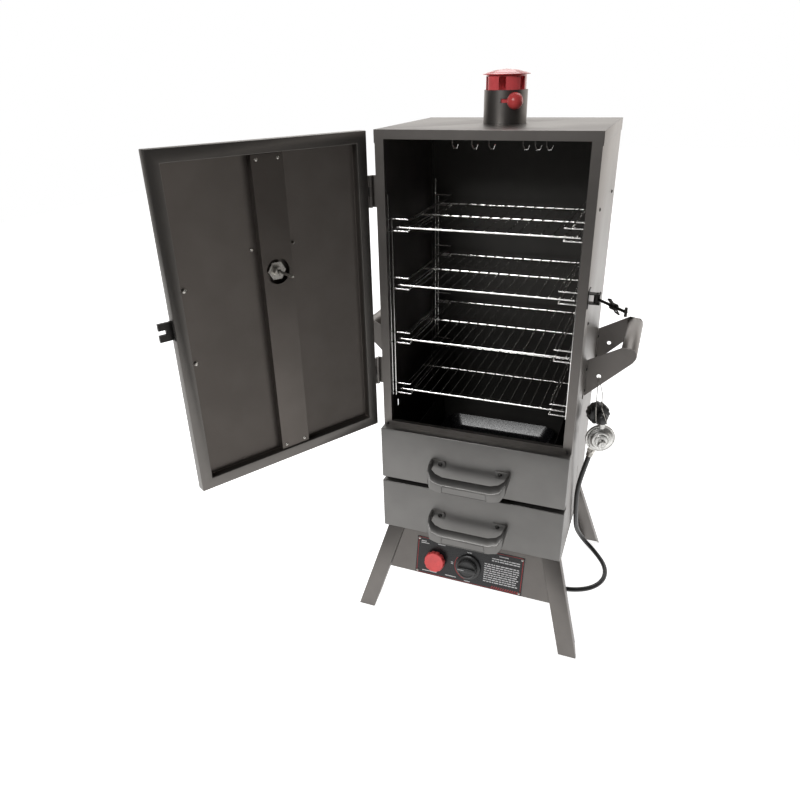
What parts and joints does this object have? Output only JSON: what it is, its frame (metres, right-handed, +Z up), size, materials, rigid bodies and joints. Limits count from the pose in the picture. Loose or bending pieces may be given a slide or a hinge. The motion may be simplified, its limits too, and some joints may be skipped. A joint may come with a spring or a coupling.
{
  "type": "gas cabinet smoker",
  "caption": "Upright steel smoker cabinet on splayed legs with a hinged door, sliding wire racks, drawers, a capped chimney and a gas burner fed by a hose.",
  "frame": {"origin": "middle of the footprint of the whole model without its hose and regulator, door open as stored, on the floor", "axes": "+Z up, +Y from the front frame towards the back panel, +X towards the right side that carries the regulator"},
  "size_m": [0.8536, 0.866, 1.333],
  "materials": {
    "casing": "satin charcoal powder coat",
    "chamber_inside": "dark satin coat, slightly rough",
    "door_coat": "satin charcoal powder coat",
    "door_inside": "dark bronze-grey satin coat",
    "drawer_coat": "satin mid-grey powder coat",
    "pull_metal": "gunmetal satin coat",
    "chrome_wire": "bright chrome plate",
    "red_enamel": "glossy red enamel",
    "red_plastic": "glossy red plastic",
    "black_plastic": "black moulded plastic",
    "label_black": "satin black plate",
    "bolt_steel": "zinc-plated steel",
    "black_oxide": "black oxide",
    "cast_zinc": "silver die casting",
    "valve_brass": "machined brass",
    "burner_iron": "cast iron",
    "hose_rubber": "matt black rubber",
    "ceramic": "white glazed ceramic",
    "pan_enamel": "black enamel",
    "thermo_face": "brushed bezel"
  },
  "bodies": {
    "cabinet": {"side_panel_right": "casing", "side_panel_left": "casing", "back_panel": "chamber_inside", "top_panel": "casing", "front_frame": "casing", "bottom_panel": "chamber_inside", "drawer_runners": "chamber_inside", "hook_strips": "chrome_wire", "rack_ladders": "chrome_wire", "chimney_tube": "casing", "hinge_cabinet_leaves": "casing", "latch_bracket": "black_oxide", "side_handle_plates": "casing", "side_handle_grips": "casing", "burner_shroud": "casing", "control_panel": "casing", "label_plate": "label_black", "gas_valve": "valve_brass", "burner": "burner_iron", "igniter_body": "black_plastic", "igniter_electrode": "ceramic", "cabinet_bolts": "black_oxide", "plate_screws": "bolt_steel", "regulator": "cast_zinc", "hanger_wire": "bolt_steel", "hose_ferrule_regulator": "bolt_steel", "hose_ferrule_valve": "bolt_steel", "gas_hose": "hose_rubber", "leg_front_left": "casing", "leg_front_right": "casing", "leg_rear_left": "casing", "leg_rear_right": "casing"},
    "door": {"door_shell": "door_coat", "door_liner": "door_inside", "door_channel": "door_inside", "thermometer_case": "thermo_face", "thermometer_nut": "bolt_steel", "door_handle": "pull_metal", "door_keeper": "black_oxide", "hinge_door_leaves": "door_coat", "door_screws": "bolt_steel"},
    "damper": {"damper_sleeve": "red_enamel", "damper_knob": "red_plastic"},
    "upper_drawer": {"upper_drawer_front": "drawer_coat", "upper_drawer_tray": "chamber_inside", "upper_drawer_pull": "pull_metal", "water_pan": "pan_enamel"},
    "lower_drawer": {"lower_drawer_front": "drawer_coat", "lower_drawer_tray": "chamber_inside", "lower_drawer_pull": "pull_metal", "chip_box": "pan_enamel"},
    "rack_a": {"rack_1": "chrome_wire"},
    "rack_b": {"rack_2": "chrome_wire"},
    "rack_c": {"rack_3": "chrome_wire"},
    "rack_d": {"rack_4": "chrome_wire"},
    "burner_dial": {"burner_knob": "black_plastic"},
    "igniter": {"igniter_button": "red_plastic"},
    "latch": {"latch_bolt": "black_oxide"},
    "latch_wing_nut": {"latch_nut": "black_oxide"},
    "hand_nut": {"tank_nut": "black_plastic"}
  },
  "joints": [
    {"name": "door_swing", "type": "hinge", "parent": "cabinet", "child": "door", "pos_m": [-0.15001, -0.00619, 0.89], "axis": [0, 0, -1], "range_deg": [-119.5, 50]},
    {"name": "damper_turn", "type": "hinge", "parent": "cabinet", "child": "damper", "pos_m": [0.08929, 0.18401, 1.273], "axis": [0, 0, 1], "range_deg": [-25, 25]},
    {"name": "upper_drawer_slide", "type": "slide", "parent": "cabinet", "child": "upper_drawer", "axis": [0, -1, 0], "range_m": [0, 0.26]},
    {"name": "lower_drawer_slide", "type": "slide", "parent": "cabinet", "child": "lower_drawer", "axis": [0, -1, 0], "range_m": [0, 0.26]},
    {"name": "rack_1_slide", "type": "slide", "parent": "cabinet", "child": "rack_a", "axis": [0, -1, 0], "range_m": [0, 0.24]},
    {"name": "rack_2_slide", "type": "slide", "parent": "cabinet", "child": "rack_b", "axis": [0, -1, 0], "range_m": [0, 0.24]},
    {"name": "rack_3_slide", "type": "slide", "parent": "cabinet", "child": "rack_c", "axis": [0, -1, 0], "range_m": [0, 0.24]},
    {"name": "rack_4_slide", "type": "slide", "parent": "cabinet", "child": "rack_d", "axis": [0, -1, 0], "range_m": [0, 0.24]},
    {"name": "burner_knob_turn", "type": "hinge", "parent": "cabinet", "child": "burner_dial", "pos_m": [0.08929, -0.01549, 0.17], "axis": [0, -0.9701, 0.2425], "range_deg": [0, 200]},
    {"name": "igniter_press", "type": "slide", "parent": "cabinet", "child": "igniter", "axis": [0, 0.9701, -0.2425], "range_m": [0, 0.005], "stiffness_N_per_m": 400},
    {"name": "latch_swing", "type": "hinge", "parent": "cabinet", "child": "latch", "pos_m": [0.33529, 0.02001, 0.905], "axis": [0, 0, 1], "range_deg": [-42, 45]},
    {"name": "latch_nut_spin", "type": "hinge", "parent": "latch", "child": "latch_wing_nut", "pos_m": [0.37209, -0.02087, 0.905], "axis": [0.6691, -0.7431, 0], "continuous": true},
    {"name": "hand_nut_spin", "type": "hinge", "parent": "cabinet", "child": "hand_nut", "pos_m": [0.35514, 0.14468, 0.586], "axis": [-0.4512, 0.8924, 0], "continuous": true}
  ]
}
